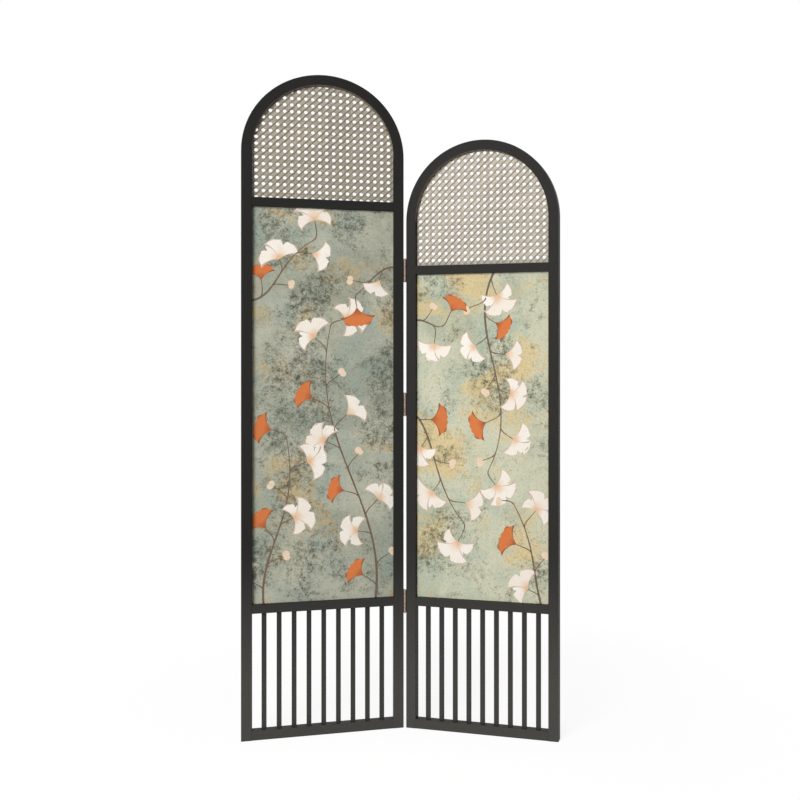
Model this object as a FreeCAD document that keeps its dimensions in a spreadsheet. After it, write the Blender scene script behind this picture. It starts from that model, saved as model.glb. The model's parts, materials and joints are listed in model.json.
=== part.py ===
"""A folding screen: two arched panels of unlike height, joined by three hinges and standing in a shallow V.

Each panel is a slim frame that holds open cane above, a printed board below it and upright slats at the foot.
Millimetres and degrees; +Z is up, the front faces -Y, and the origin is on the floor under the middle.
Each panel is drawn in its own upright frame: x across from its middle, y back from its front face.
"""
import FreeCAD, Part
import math
import os
import re

import Sketcher

SIZES = {
    # Panel outlines and their stance
    "panel_width": 482.0,
    "tall_height": 2000.0,
    "short_height": 1804.0,
    "tall_angle": 13.6,
    "short_angle": 14.0,
    # Frame members
    "frame_face": 31.0,
    "frame_depth": 26.0,
    "arris_radius": 1.2,
    "rail_height": 26.5,
    "bottom_rail_height": 28.5,
    "lower_rail_base": 378.0,
    "upper_rail_drop": 377.5,
    "lip_depth": 14.0,
    "rebate_width": 8.0,
    # Joinery
    "tenon_setback": 3.0,
    "tenon_shoulder": 3.0,
    "tenon_cover": 12.0,
    "joint_clearance": 0.1,
    "dowel_radius": 4.0,
    "dowel_reach": 20.0,
    "cut_margin": 1.0,
    # Slats
    "slat_count": 9,
    "slat_width": 14.4,
    "slat_end_gap": 27.3,
    "slat_depth": 8.0,
    "slat_setback": 16.0,
    "slat_housing": 8.0,
    # Cane, printed board and the beads that hold them
    "cane_thickness": 2.5,
    "cane_pitch_across": 20.7,
    "cane_pitch_up": 20.15,
    "cane_hole_radius": 5.7,
    "cane_hole_margin": 1.2,
    "board_thickness": 4.0,
    "sheet_clearance": 1.0,
    "bead_clearance": 0.2,
    "bead_setback": 0.5,
    "bead_radius": 2.0,
    # Hinges
    "barrel_radius": 3.4,
    "barrel_relief": 0.5,
    "axis_proud": 2.0,
    "leaf_height": 70.0,
    "leaf_thickness": 2.0,
    "leaf_margin": 3.0,
    "knuckle_count": 5,
    "knuckle_gap": 0.3,
    "pin_radius": 1.7,
    "pin_press_clearance": 0.02,
    "pin_running_clearance": 0.06,
    "pin_head_radius": 3.0,
    "pin_head_height": 2.0,
    "pin_head_rounding": 1.0,
    "middle_hinge_drop": 414.0,
    # Hinge screws
    "screw_radius": 1.75,
    "screw_head_radius": 3.5,
    "screw_tip_length": 4.0,
    "screw_cover": 4.0,
    "screw_line_setback": 2.0,
    "screw_end_margin": 11.0,
    "screw_clearance": 0.05,
}

# Sizes that follow from the driving ones
HALF_WIDTH = "panel_width / 2"
HALF_OPENING = "(panel_width / 2 - frame_face)"
OPENING = "(panel_width - 2 * frame_face)"
HALF_REBATE = "(panel_width / 2 - frame_face + rebate_width)"
TENON_LENGTH = "(frame_face - tenon_cover)"
TENON_THICKNESS = "(lip_depth - 2 * tenon_setback)"
DOWEL_OFFSET = "(panel_width / 2 - (frame_face - rebate_width) / 2)"
SLAT_PITCH = "((panel_width - 2 * frame_face - 2 * slat_end_gap - slat_width) / (slat_count - 1))"
SCREW_LINE = "(lip_depth + screw_line_setback)"
SCREW_LENGTH = "(frame_face - rebate_width - screw_cover)"
UPPER_HINGE = "(min(tall_height; short_height) - upper_rail_drop - rail_height / 2)"
HINGE_HEIGHTS = {
    "lower": "(lower_rail_base + rail_height / 2)",
    "middle": UPPER_HINGE + " - middle_hinge_drop",
    "upper": UPPER_HINGE,
}
SCREW_ROWS = ("-(leaf_height / 2 - screw_end_margin)", "0", "(leaf_height / 2 - screw_end_margin)")
PANELS = {"tall": 1, "short": -1}

doc = FreeCAD.newDocument("folding_screen")
sheet = doc.addObject("Spreadsheet::Sheet", "sizes")
for row, (alias, number) in enumerate(SIZES.items(), start=1):
    sheet.set("A%d" % row, alias)
    sheet.set("B%d" % row, str(number))
    sheet.setAlias("B%d" % row, alias)
doc.recompute()

pieces = {}


# Expressions of the sheet

def formula(text):
    """Point each size's name in an expression at its cell."""
    return re.sub(r"[a-z]+(?:_[a-z]+)+", lambda word: "sizes." + word.group(), text)


def value(text):
    """The number that an expression of sizes comes to."""
    return float(sheet.evalExpression(formula(text)))


def bind(feature, **expressions):
    """Tie a feature's properties to expressions of sizes."""
    for name, text in expressions.items():
        feature.setExpression(name, formula(text))


# Sketches and features

def new_body(label):
    """An empty body whose label names its piece."""
    body = doc.addObject("PartDesign::Body", label)
    body.Label = label
    pieces[label] = body
    return body


def new_sketch(body, role, offset="0"):
    """A sketch on one of the body's own planes, moved along its normal."""
    sketch = body.newObject("Sketcher::SketchObject", body.Name + "_sketch")
    plane = next(item for item in body.Origin.OriginFeatures if item.Role == role)
    sketch.AttachmentSupport = [(plane, "")]
    sketch.MapMode = "FlatFace"
    sketch.setExpression("AttachmentOffset.Base.z", formula(offset))
    return sketch


def drive(sketch, kind, places, text):
    """Add a dimension that follows an expression."""
    index = sketch.addConstraint(Sketcher.Constraint(kind, *places, value(text)))
    sketch.setExpression("Constraints[%d]" % index, formula(text))


def draw_rectangle(sketch, left, bottom, wide, high):
    """A rectangle with its near corner and its sides given by expressions."""
    first = sketch.GeometryCount
    x0, y0 = value(left), value(bottom)
    x1, y1 = x0 + value(wide), y0 + value(high)
    corners = [FreeCAD.Vector(x, y, 0) for x, y in ((x0, y0), (x1, y0), (x1, y1), (x0, y1))]
    for side in range(4):
        sketch.addGeometry(Part.LineSegment(corners[side], corners[(side + 1) % 4]))
    for side in range(4):
        sketch.addConstraint(Sketcher.Constraint("Coincident", first + side, 2, first + (side + 1) % 4, 1))
        sketch.addConstraint(Sketcher.Constraint(("Horizontal", "Vertical")[side % 2], first + side))
    drive(sketch, "DistanceX", (-1, 1, first, 1), left)
    drive(sketch, "DistanceY", (-1, 1, first, 1), bottom)
    drive(sketch, "DistanceX", (first, 1, first, 2), wide)
    drive(sketch, "DistanceY", (first + 1, 1, first + 1, 2), high)


def draw_strip(sketch, side, inner, outer, bottom, high):
    """A rectangle from an inner to an outer distance off the middle, on the left (-1) or the right (1)."""
    left = inner if side > 0 else "-(%s)" % outer
    draw_rectangle(sketch, left, bottom, "(%s) - (%s)" % (outer, inner), high)


def draw_circle(sketch, across, up, radius):
    """A circle with its centre and its radius given by expressions."""
    centre = FreeCAD.Vector(value(across), value(up), 0)
    index = sketch.addGeometry(Part.Circle(centre, FreeCAD.Vector(0, 0, 1), value(radius)))
    drive(sketch, "DistanceX", (-1, 1, index, 3), across)
    drive(sketch, "DistanceY", (-1, 1, index, 3), up)
    drive(sketch, "Radius", (index,), radius)


def extrude(body, kind, sketch, length, reverse=False, both_ways=False):
    """Pad or pocket a sketch by a length, and make sure that a pocket removes something."""
    doc.recompute()
    before = body.Shape.Volume if body.Tip else 0
    feature = body.newObject("PartDesign::" + kind, body.Name + "_" + kind.lower())
    feature.Profile = sketch
    feature.SideType = "Symmetric" if both_ways else "One side"
    feature.Reversed = reverse
    bind(feature, Length=length)
    doc.recompute()
    if kind == "Pocket" and not body.Shape.Volume < before:
        raise RuntimeError("a pocket cuts nothing from " + body.Label)


def revolve(body, kind, sketch):
    """Turn a sketch half round, over the top, about the line through its origin that runs front to back."""
    feature = body.newObject("PartDesign::" + kind, body.Name + "_" + kind.lower())
    feature.Profile = sketch
    feature.ReferenceAxis = (sketch, ["V_Axis"])
    feature.Angle = 180
    feature.Reversed = True
    doc.recompute()


def round_edges(body, chosen, radius="arris_radius"):
    """Round the edges that a test picks out."""
    doc.recompute()
    base = body.Tip
    names = ["Edge%d" % number for number, edge in enumerate(base.Shape.Edges, start=1) if chosen(edge)]
    fillet = body.newObject("PartDesign::Fillet", body.Name + "_fillet")
    fillet.Base = (base, names)
    bind(fillet, Radius=radius)
    doc.recompute()


def runs_along(edge, direction):
    """Whether an edge is straight and parallel to a direction."""
    return isinstance(edge.Curve, Part.Line) and abs(edge.Curve.Direction.dot(direction)) > 0.999


def same(first, second):
    """Whether two lengths agree to within drawing accuracy."""
    return abs(first - second) < 1e-4


ACROSS = FreeCAD.Vector(1, 0, 0)
UPRIGHT = FreeCAD.Vector(0, 0, 1)


# Where the panels and the hinge line stand

def hinge_axis():
    """The hinge line's place on the floor that puts the whole screen's box centrally over the origin."""
    width, depth = value("panel_width + barrel_radius"), value("frame_depth + axis_proud")
    rounding, gap, proud = value("arris_radius"), value("barrel_radius"), value("axis_proud")
    reach, fronts, backs = [], [], []
    for panel in PANELS:
        turn = math.radians(value(panel + "_angle"))
        cosine, sine = math.cos(turn), math.sin(turn)
        reach.append((width - rounding) * cosine + (depth - rounding) * sine + rounding)
        fronts.append((proud + rounding) * cosine - (width - rounding) * sine - rounding)
        backs.append((depth - rounding) * cosine - (gap + rounding) * sine + rounding)
    tall_reach, short_reach = reach
    return FreeCAD.Vector((tall_reach - short_reach) / 2, -(min(fronts) + max(backs)) / 2, 0)


def panel_placement(panel):
    """The place of a panel's own frame, turned about the hinge line."""
    side = PANELS[panel]
    turn = FreeCAD.Rotation(UPRIGHT, side * value(panel + "_angle"))
    axis = FreeCAD.Vector(side * value("panel_width / 2 + barrel_radius"), -value("axis_proud"), 0)
    return FreeCAD.Placement(hinge_axis() - turn.multVec(axis), turn)


# Frame members

def make_stile(panel, name, side):
    """An upright with its rebate, three mortises and dowel hole, and pilot holes where the hinges go."""
    body = new_body("%s_%s" % (panel, name))
    height = panel + "_height"
    top = "%s - panel_width / 2" % height
    section = new_sketch(body, "XY_Plane")
    draw_strip(section, side, HALF_OPENING, HALF_WIDTH, "0", "frame_depth")
    extrude(body, "Pad", section, top)
    round_edges(body, lambda edge: runs_along(edge, UPRIGHT))
    rebate = new_sketch(body, "XY_Plane", top)
    draw_strip(rebate, side, HALF_OPENING + " - cut_margin", HALF_REBATE, "lip_depth",
               "frame_depth - lip_depth + cut_margin")
    extrude(body, "Pocket", rebate, top + " - (lower_rail_base + rail_height - rebate_width)")
    mortises = new_sketch(body, "YZ_Plane", "%d * %s" % (side, HALF_OPENING))
    for base, high in rail_places(height).values():
        draw_rectangle(mortises, "tenon_setback - joint_clearance", base + " + tenon_shoulder - joint_clearance",
                       TENON_THICKNESS + " + 2 * joint_clearance", tenon_height(high) + " + 2 * joint_clearance")
    extrude(body, "Pocket", mortises, TENON_LENGTH + " + joint_clearance", reverse=side > 0)
    dowel = new_sketch(body, "XY_Plane", top)
    draw_circle(dowel, "%d * %s" % (side, DOWEL_OFFSET), "frame_depth / 2", "dowel_radius + joint_clearance")
    extrude(body, "Pocket", dowel, "dowel_reach + joint_clearance")
    if name == "hinge_stile":
        pilots = new_sketch(body, "YZ_Plane", "%d * %s" % (side, HALF_WIDTH))
        for middle in HINGE_HEIGHTS.values():
            for row in SCREW_ROWS:
                draw_circle(pilots, SCREW_LINE, "%s + %s" % (middle, row), "screw_radius + screw_clearance")
        extrude(body, "Pocket", pilots, SCREW_LENGTH + " + screw_clearance", reverse=side < 0)


def rail_places(height):
    """The underside of each rail and how high the rail is."""
    return {
        "bottom_rail": ("0", "bottom_rail_height"),
        "lower_rail": ("lower_rail_base", "rail_height"),
        "upper_rail": ("%s - upper_rail_drop - rail_height" % height, "rail_height"),
    }


def tenon_height(rail_height):
    """How high the tenons of a rail are, between their shoulders."""
    return "(%s - 2 * tenon_shoulder)" % rail_height


def make_rail(panel, name, rebate_below, rebate_above):
    """A rail with tenons; one rebated on both sides has rear ears that fill the stiles' rebates."""
    body = new_body("%s_%s" % (panel, name))
    base, high = rail_places(panel + "_height")[name]
    lip = new_sketch(body, "YZ_Plane")
    draw_rectangle(lip, "0", base, "lip_depth", high)
    extrude(body, "Pad", lip, OPENING, both_ways=True)
    rear = new_sketch(body, "YZ_Plane")
    draw_rectangle(rear, "lip_depth", "%s + %d * rebate_width" % (base, rebate_below), "frame_depth - lip_depth",
                   "%s - %d * rebate_width" % (high, rebate_below + rebate_above))
    ears = " + 2 * (rebate_width - bead_clearance)" if rebate_below else ""
    extrude(body, "Pad", rear, OPENING + ears, both_ways=True)
    faces = (0, value("frame_depth"))
    round_edges(body, lambda edge: runs_along(edge, ACROSS)
                and any(same(edge.Vertexes[0].Y, face) for face in faces))
    tenon = new_sketch(body, "YZ_Plane")
    draw_rectangle(tenon, "tenon_setback", base + " + tenon_shoulder", TENON_THICKNESS, tenon_height(high))
    extrude(body, "Pad", tenon, "%s + 2 * %s" % (OPENING, TENON_LENGTH), both_ways=True)
    return body


def cut_slat_mortises(body, face, upwards):
    """House the slats' ends in a rail's face."""
    mortises = new_sketch(body, "XY_Plane", face)
    for place in slat_places():
        draw_rectangle(mortises, "%s - slat_width / 2 - joint_clearance" % place,
                       "slat_setback - joint_clearance",
                       "slat_width + 2 * joint_clearance", "slat_depth + 2 * joint_clearance")
    extrude(body, "Pocket", mortises, "slat_housing + joint_clearance", reverse=upwards)


def slat_places():
    """The slats' middles, evenly spaced between the end gaps."""
    count = int(value("slat_count"))
    return ["(%d - (slat_count + 1) / 2) * %s" % (number, SLAT_PITCH) for number in range(1, count + 1)]


def make_slats(panel):
    """The upright slats between the lower and the bottom rail."""
    for number, place in enumerate(slat_places(), start=1):
        body = new_body("%s_slat_%d" % (panel, number))
        section = new_sketch(body, "XY_Plane", "bottom_rail_height - slat_housing")
        draw_rectangle(section, "%s - slat_width / 2" % place, "slat_setback", "slat_width", "slat_depth")
        extrude(body, "Pad", section, "lower_rail_base - bottom_rail_height + 2 * slat_housing")
        round_edges(body, lambda edge: runs_along(edge, UPRIGHT))


def make_arch_head(panel):
    """The half-round head, of the stiles' own section, with a dowel hole in each end."""
    body = new_body(panel + "_arch_head")
    springing = "%s_height - panel_width / 2" % panel
    section = new_sketch(body, "XY_Plane", springing)
    draw_strip(section, 1, HALF_OPENING, HALF_WIDTH, "0", "frame_depth")
    revolve(body, "Revolution", section)
    round_edges(body, lambda edge: isinstance(edge.Curve, Part.Circle))
    rebate = new_sketch(body, "XY_Plane", springing)
    draw_strip(rebate, 1, HALF_OPENING + " - cut_margin", HALF_REBATE, "lip_depth",
               "frame_depth - lip_depth + cut_margin")
    revolve(body, "Groove", rebate)
    dowels = new_sketch(body, "XY_Plane", springing)
    for side in (-1, 1):
        draw_circle(dowels, "%d * %s" % (side, DOWEL_OFFSET), "frame_depth / 2", "dowel_radius + joint_clearance")
    extrude(body, "Pocket", dowels, "dowel_reach + joint_clearance", reverse=True)


def make_arch_dowels(panel, placement):
    """The two dowels that join the head to the stiles, as one group of solids."""
    group = doc.addObject("Part::Compound", panel + "_arch_dowels")
    dowels = []
    for side in (-1, 1):
        dowel = doc.addObject("Part::Cylinder", panel + "_dowel")
        bind(dowel, Radius="dowel_radius", Height="2 * dowel_reach")
        foot = FreeCAD.Vector(side * value(DOWEL_OFFSET), value("frame_depth / 2"),
                              value("%s_height - panel_width / 2 - dowel_reach" % panel))
        dowel.Placement = placement.multiply(FreeCAD.Placement(foot, FreeCAD.Rotation()))
        dowels.append(dowel)
    group.Links = dowels
    pieces[group.Label] = group


# Cane, printed board and beads

def make_cane_webbing(panel, placement):
    """The open cane: one arched face with a grid of round holes, given its thickness."""
    front = value("lip_depth")
    bottom = value("%s_height - upper_rail_drop - rebate_width + sheet_clearance" % panel)
    springing = value("%s_height - panel_width / 2" % panel)
    radius = value(HALF_REBATE + " - sheet_clearance")
    left_foot, right_foot = FreeCAD.Vector(-radius, front, bottom), FreeCAD.Vector(radius, front, bottom)
    left_spring = FreeCAD.Vector(-radius, front, springing)
    right_spring = FreeCAD.Vector(radius, front, springing)
    crown = FreeCAD.Vector(0, front, springing + radius)
    outline = Part.Wire([
        Part.LineSegment(left_foot, right_foot).toShape(),
        Part.LineSegment(right_foot, right_spring).toShape(),
        Part.Arc(right_spring, crown, left_spring).toShape(),
        Part.LineSegment(left_spring, left_foot).toShape(),
    ])
    holes = [cane_hole(centre) for centre in cane_hole_centres(panel, bottom, springing, radius)]
    net = Part.Face([outline] + holes)
    webbing = doc.addObject("Part::Feature", panel + "_cane_webbing")
    webbing.Shape = net.extrude(FreeCAD.Vector(0, value("cane_thickness"), 0))
    webbing.Placement = placement
    pieces[webbing.Label] = webbing


def cane_hole_centres(panel, bottom, springing, radius):
    """The grid points whose holes lie whole inside the cane's edge; a row lies along the rail's top edge."""
    step_across, step_up = value("cane_pitch_across"), value("cane_pitch_up")
    room = value("cane_hole_radius + cane_hole_margin")
    first_row = value("%s_height - upper_rail_drop" % panel)
    columns, rows = int(radius / step_across) + 1, int((springing + radius - first_row) / step_up) + 1
    centres = []
    for row in range(rows):
        height = first_row + row * step_up
        for column in range(-columns, columns):
            across = (column + 0.5) * step_across
            off_middle = math.hypot(across, max(height - springing, 0))
            if off_middle + room < radius and height - room > bottom:
                centres.append(FreeCAD.Vector(across, value("lip_depth"), height))
    return centres


def cane_hole(centre):
    """The outline of one hole."""
    return Part.Wire([Part.Circle(centre, FreeCAD.Vector(0, 1, 0), value("cane_hole_radius")).toShape()])


def make_cane_beads(panel):
    """The bent bead round the cane's arch, with straight legs, and the straight bead along its foot."""
    springing = "%s_height - panel_width / 2" % panel
    front, back = "lip_depth + cane_thickness", "frame_depth - bead_setback"
    thick = "(%s) - (%s)" % (back, front)
    outer = HALF_REBATE + " - bead_clearance"
    arch = new_body(panel + "_cane_arch_bead")
    section = new_sketch(arch, "XY_Plane", springing)
    draw_strip(section, 1, HALF_OPENING, outer, front, thick)
    revolve(arch, "Revolution", section)
    legs = new_sketch(arch, "XY_Plane", springing)
    for side in (-1, 1):
        draw_strip(legs, side, HALF_OPENING, outer, front, thick)
    extrude(arch, "Pad", legs, "upper_rail_drop + rebate_width - bead_clearance - panel_width / 2", reverse=True)
    round_edges(arch, is_bead_nose, "bead_radius")
    foot = new_body(panel + "_cane_bottom_bead")
    section = new_sketch(foot, "YZ_Plane")
    draw_rectangle(section, front, "%s_height - upper_rail_drop - rebate_width + bead_clearance" % panel,
                   thick, "rebate_width - bead_clearance")
    extrude(foot, "Pad", section, OPENING + " - 2 * bead_clearance", both_ways=True)
    nose = value("%s_height - upper_rail_drop" % panel)
    round_edges(foot, lambda edge: is_rail_bead_nose(edge, nose), "bead_radius")


def is_bead_nose(edge):
    """Whether an edge is a side or arch bead's visible corner: at the opening's edge, towards the back."""
    if not same(edge.Vertexes[0].Y, value("frame_depth - bead_setback")):
        return False
    if isinstance(edge.Curve, Part.Circle):
        return same(edge.Curve.Radius, value(HALF_OPENING))
    return runs_along(edge, UPRIGHT) and same(abs(edge.Vertexes[0].X), value(HALF_OPENING))


def is_rail_bead_nose(edge, height):
    """Whether an edge is a top or bottom bead's visible corner, at a given height, towards the back."""
    start = edge.Vertexes[0]
    return runs_along(edge, ACROSS) and same(start.Y, value("frame_depth - bead_setback")) and same(start.Z, height)


def make_art_board(panel):
    """The printed board, loose in its rebate by a clearance all round."""
    body = new_body(panel + "_art_board")
    section = new_sketch(body, "YZ_Plane")
    base = "lower_rail_base + rail_height - rebate_width + sheet_clearance"
    top = "%s_height - upper_rail_drop - rail_height + rebate_width - sheet_clearance" % panel
    draw_rectangle(section, "lip_depth", base, "board_thickness", "(%s) - (%s)" % (top, base))
    extrude(body, "Pad", section, "2 * (%s - sheet_clearance)" % HALF_REBATE, both_ways=True)


def make_art_beads(panel):
    """The four straight beads behind the printed board."""
    front, back = "lip_depth + board_thickness", "frame_depth - bead_setback"
    thick = "(%s) - (%s)" % (back, front)
    sill = "lower_rail_base + rail_height"
    head = "%s_height - upper_rail_drop - rail_height" % panel
    base = "%s - rebate_width + bead_clearance" % sill
    top = "%s + rebate_width - bead_clearance" % head
    for name, side in (("left", -1), ("right", 1)):
        body = new_body("%s_art_bead_%s" % (panel, name))
        section = new_sketch(body, "XY_Plane", base)
        draw_strip(section, side, HALF_OPENING, HALF_REBATE + " - bead_clearance", front, thick)
        extrude(body, "Pad", section, "(%s) - (%s)" % (top, base))
        round_edges(body, is_bead_nose, "bead_radius")
    for name, lower_edge, nose in (("bottom", base, sill), ("top", head, head)):
        body = new_body("%s_art_bead_%s" % (panel, name))
        section = new_sketch(body, "YZ_Plane")
        draw_rectangle(section, front, lower_edge, thick, "rebate_width - bead_clearance")
        extrude(body, "Pad", section, OPENING + " - 2 * bead_clearance", both_ways=True)
        height = value(nose)
        round_edges(body, lambda edge: is_rail_bead_nose(edge, height), "bead_radius")


# Hinges and their screws

def make_hinge_leaf(panel, hinge):
    """A leaf on the stile's edge with its share of the knuckles and three countersunk holes."""
    body = new_body("hinge_%s_%s_leaf" % (hinge, panel))
    side = PANELS[panel]
    middle = HINGE_HEIGHTS[hinge]
    base, top = middle + " - leaf_height / 2", middle + " + leaf_height / 2"
    axis = "%d * (panel_width / 2 + barrel_radius)" % side
    plate = new_sketch(body, "XY_Plane", base)
    draw_strip(plate, side, HALF_WIDTH, "panel_width / 2 + leaf_thickness", "-axis_proud",
               "frame_depth - leaf_margin + axis_proud")
    extrude(body, "Pad", plate, "leaf_height")
    barrel = new_sketch(body, "XY_Plane", base)
    draw_circle(barrel, axis, "-axis_proud", "barrel_radius")
    extrude(body, "Pad", barrel, "leaf_height")
    notches = new_sketch(body, "YZ_Plane")
    for number in range(int(value("knuckle_count"))):
        if (number % 2 == 0) == (panel == "tall"):
            continue
        draw_rectangle(notches, "-axis_proud - barrel_radius - cut_margin",
                       "%s + %d * leaf_height / knuckle_count - knuckle_gap / 2" % (base, number),
                       "2 * barrel_radius + barrel_relief + cut_margin", "leaf_height / knuckle_count + knuckle_gap")
    extrude(body, "Pocket", notches, "panel_width + 8 * barrel_radius", both_ways=True)
    fit = "pin_press_clearance" if panel == "tall" else "pin_running_clearance"
    bore = new_sketch(body, "XY_Plane", top)
    draw_circle(bore, axis, "-axis_proud", "pin_radius + " + fit)
    extrude(body, "Pocket", bore, "leaf_height")
    countersink_leaf(body, side, middle)


def countersink_leaf(body, side, middle):
    """Three countersunk screw holes through a leaf."""
    holes = new_sketch(body, "YZ_Plane", "%d * (panel_width / 2 + leaf_thickness)" % side)
    for row in SCREW_ROWS:
        draw_circle(holes, SCREW_LINE, "%s + %s" % (middle, row), "screw_radius + screw_clearance")
    doc.recompute()
    before = body.Shape.Volume
    hole = body.newObject("PartDesign::Hole", body.Name + "_hole")
    hole.Profile = holes
    hole.DepthType = "ThroughAll"
    hole.HoleCutType = "Countersink"
    hole.HoleCutCustomValues = True
    hole.HoleCutCountersinkAngle = 90
    hole.Reversed = side < 0
    bind(hole, Diameter="2 * (screw_radius + screw_clearance)",
         HoleCutDiameter="2 * (screw_head_radius + screw_clearance)")
    doc.recompute()
    if not body.Shape.Volume < before:
        raise RuntimeError("a screw hole cuts nothing from " + body.Label)


def make_hinge_pin(hinge):
    """A pin with a rounded button head at each end of the barrel."""
    body = new_body("hinge_%s_pin" % hinge)
    base = HINGE_HEIGHTS[hinge] + " - leaf_height / 2"
    top = HINGE_HEIGHTS[hinge] + " + leaf_height / 2"
    for foot, radius, length, down in ((base, "pin_radius", "leaf_height", False),
                                       (top, "pin_head_radius", "pin_head_height", False),
                                       (base, "pin_head_radius", "pin_head_height", True)):
        section = new_sketch(body, "XY_Plane", foot)
        draw_circle(section, "0", "0", radius)
        extrude(body, "Pad", section, length, reverse=down)
    ends = (value(top + " + pin_head_height"), value(base + " - pin_head_height"))
    round_edges(body, lambda edge: isinstance(edge.Curve, Part.Circle)
                and any(same(edge.Curve.Center.z, end) for end in ends), "pin_head_rounding")
    body.Placement = FreeCAD.Placement(hinge_axis(), FreeCAD.Rotation())


def make_hinge_screws(panel, placement):
    """The countersunk wood screws of one panel's leaves, as one group of solids."""
    side = PANELS[panel]
    group = doc.addObject("Part::Compound", panel + "_hinge_screws")
    screws = []
    for middle in HINGE_HEIGHTS.values():
        for row in SCREW_ROWS:
            head = FreeCAD.Vector(side * value("panel_width / 2 + leaf_thickness"), value(SCREW_LINE),
                                  value("%s + %s" % (middle, row)))
            inwards = FreeCAD.Rotation(UPRIGHT, FreeCAD.Vector(-side, 0, 0))
            screws.append(make_screw(panel, placement.multiply(FreeCAD.Placement(head, inwards))))
    group.Links = screws
    pieces[group.Label] = group


def make_screw(panel, placement):
    """One screw: a conical head, a shank and a pointed tip, drawn along its own axis from the head."""
    head = doc.addObject("Part::Cone", panel + "_screw_head")
    bind(head, Radius1="screw_head_radius", Radius2="screw_radius", Height="screw_head_radius - screw_radius")
    shank = doc.addObject("Part::Cylinder", panel + "_screw_shank")
    bind(shank, Radius="screw_radius", Height=SCREW_LENGTH + " + leaf_thickness - screw_tip_length")
    tip = doc.addObject("Part::Cone", panel + "_screw_tip")
    bind(tip, Radius1="screw_radius", Radius2="0", Height="screw_tip_length")
    tip_start = FreeCAD.Vector(0, 0, value(SCREW_LENGTH + " + leaf_thickness - screw_tip_length"))
    head.Placement = placement
    shank.Placement = placement
    tip.Placement = placement.multiply(FreeCAD.Placement(tip_start, FreeCAD.Rotation()))
    screw = doc.addObject("Part::MultiFuse", panel + "_screw")
    screw.Shapes = [head, shank, tip]
    return screw


def make_panel(panel):
    """All the pieces of one panel, stood in their place."""
    already = set(pieces)
    side = PANELS[panel]
    make_stile(panel, "hinge_stile", side)
    make_stile(panel, "free_stile", -side)
    make_arch_head(panel)
    make_rail(panel, "upper_rail", True, True)
    lower = make_rail(panel, "lower_rail", False, True)
    cut_slat_mortises(lower, "lower_rail_base", True)
    bottom = make_rail(panel, "bottom_rail", False, False)
    cut_slat_mortises(bottom, "bottom_rail_height", False)
    make_slats(panel)
    make_cane_beads(panel)
    make_art_board(panel)
    make_art_beads(panel)
    for hinge in HINGE_HEIGHTS:
        make_hinge_leaf(panel, hinge)
    placement = panel_placement(panel)
    for label in set(pieces) - already:
        pieces[label].Placement = placement
    make_arch_dowels(panel, placement)
    make_cane_webbing(panel, placement)
    make_hinge_screws(panel, placement)


def check_pieces():
    """Stop if any object failed or any piece has no sound shape."""
    for item in doc.Objects:
        if {"Invalid", "Error"} & set(item.State):
            raise RuntimeError("%s failed: %s" % (item.Label, item.State))
    for label, piece in pieces.items():
        if piece.Shape.isNull() or not piece.Shape.isValid() or not piece.Shape.Solids:
            raise RuntimeError("%s has no sound shape" % label)


def main():
    """Build every piece, check it and write it out."""
    for panel in PANELS:
        make_panel(panel)
    for hinge in HINGE_HEIGHTS:
        make_hinge_pin(hinge)
    doc.recompute()
    check_pieces()
    os.makedirs("parts", exist_ok=True)
    for label, piece in pieces.items():
        piece.Shape.exportStep("parts/%s.step" % label)
    axis = hinge_axis()
    print("%d pieces, hinge line at x %.3f, y %.3f" % (len(pieces), axis.x, axis.y))


main()
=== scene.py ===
"""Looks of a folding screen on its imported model: painted frames, woven cane, printed boards and hinges."""
import json
import math
import random

import bmesh
import bpy
from bpy.props import FloatProperty, FloatVectorProperty, IntProperty, PointerProperty
from mathutils import Matrix, Vector
from mathutils.geometry import delaunay_2d_cdt, interpolate_bezier


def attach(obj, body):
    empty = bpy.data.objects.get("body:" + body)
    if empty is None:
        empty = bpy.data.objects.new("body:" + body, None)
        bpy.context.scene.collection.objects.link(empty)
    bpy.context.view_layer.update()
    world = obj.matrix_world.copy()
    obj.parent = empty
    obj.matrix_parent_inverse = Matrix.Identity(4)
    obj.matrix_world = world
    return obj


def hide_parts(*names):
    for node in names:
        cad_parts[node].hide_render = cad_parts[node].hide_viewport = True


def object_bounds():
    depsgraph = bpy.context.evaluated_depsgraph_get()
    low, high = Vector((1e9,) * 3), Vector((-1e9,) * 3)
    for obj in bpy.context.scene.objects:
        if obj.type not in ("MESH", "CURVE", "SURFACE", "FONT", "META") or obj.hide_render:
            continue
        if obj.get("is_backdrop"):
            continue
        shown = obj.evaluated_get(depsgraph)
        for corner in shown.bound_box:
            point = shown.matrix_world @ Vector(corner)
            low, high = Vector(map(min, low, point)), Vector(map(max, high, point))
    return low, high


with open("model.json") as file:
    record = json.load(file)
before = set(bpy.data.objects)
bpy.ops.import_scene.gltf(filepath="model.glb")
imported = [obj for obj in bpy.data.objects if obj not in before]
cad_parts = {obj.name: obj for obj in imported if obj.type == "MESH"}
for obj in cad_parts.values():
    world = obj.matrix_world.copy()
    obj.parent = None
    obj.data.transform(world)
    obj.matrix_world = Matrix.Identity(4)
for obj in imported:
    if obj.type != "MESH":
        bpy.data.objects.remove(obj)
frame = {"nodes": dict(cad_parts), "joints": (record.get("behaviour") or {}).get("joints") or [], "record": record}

bl_info = {
    "name": "Folding screen dresser",
    "version": (1, 0, 0),
    "blender": (4, 5, 0),
    "location": "View3D > Sidebar > Screen",
    "description": "Gives a folding screen its paint, cane, printed boards and bronze hinges",
    "category": "Object",
}

CAD_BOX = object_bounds()

# The photograph's frame and the camera that was fitted to it
PHOTO_SIDE = 800
FOCAL_PIXELS = 956.0
AXIS_PIXEL = (533.2, 368.7)
SENSOR_WIDTH = 36.0
CAMERA_FROM_HINGE = Vector((0.3967, -2.9545, 1.1095))


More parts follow.
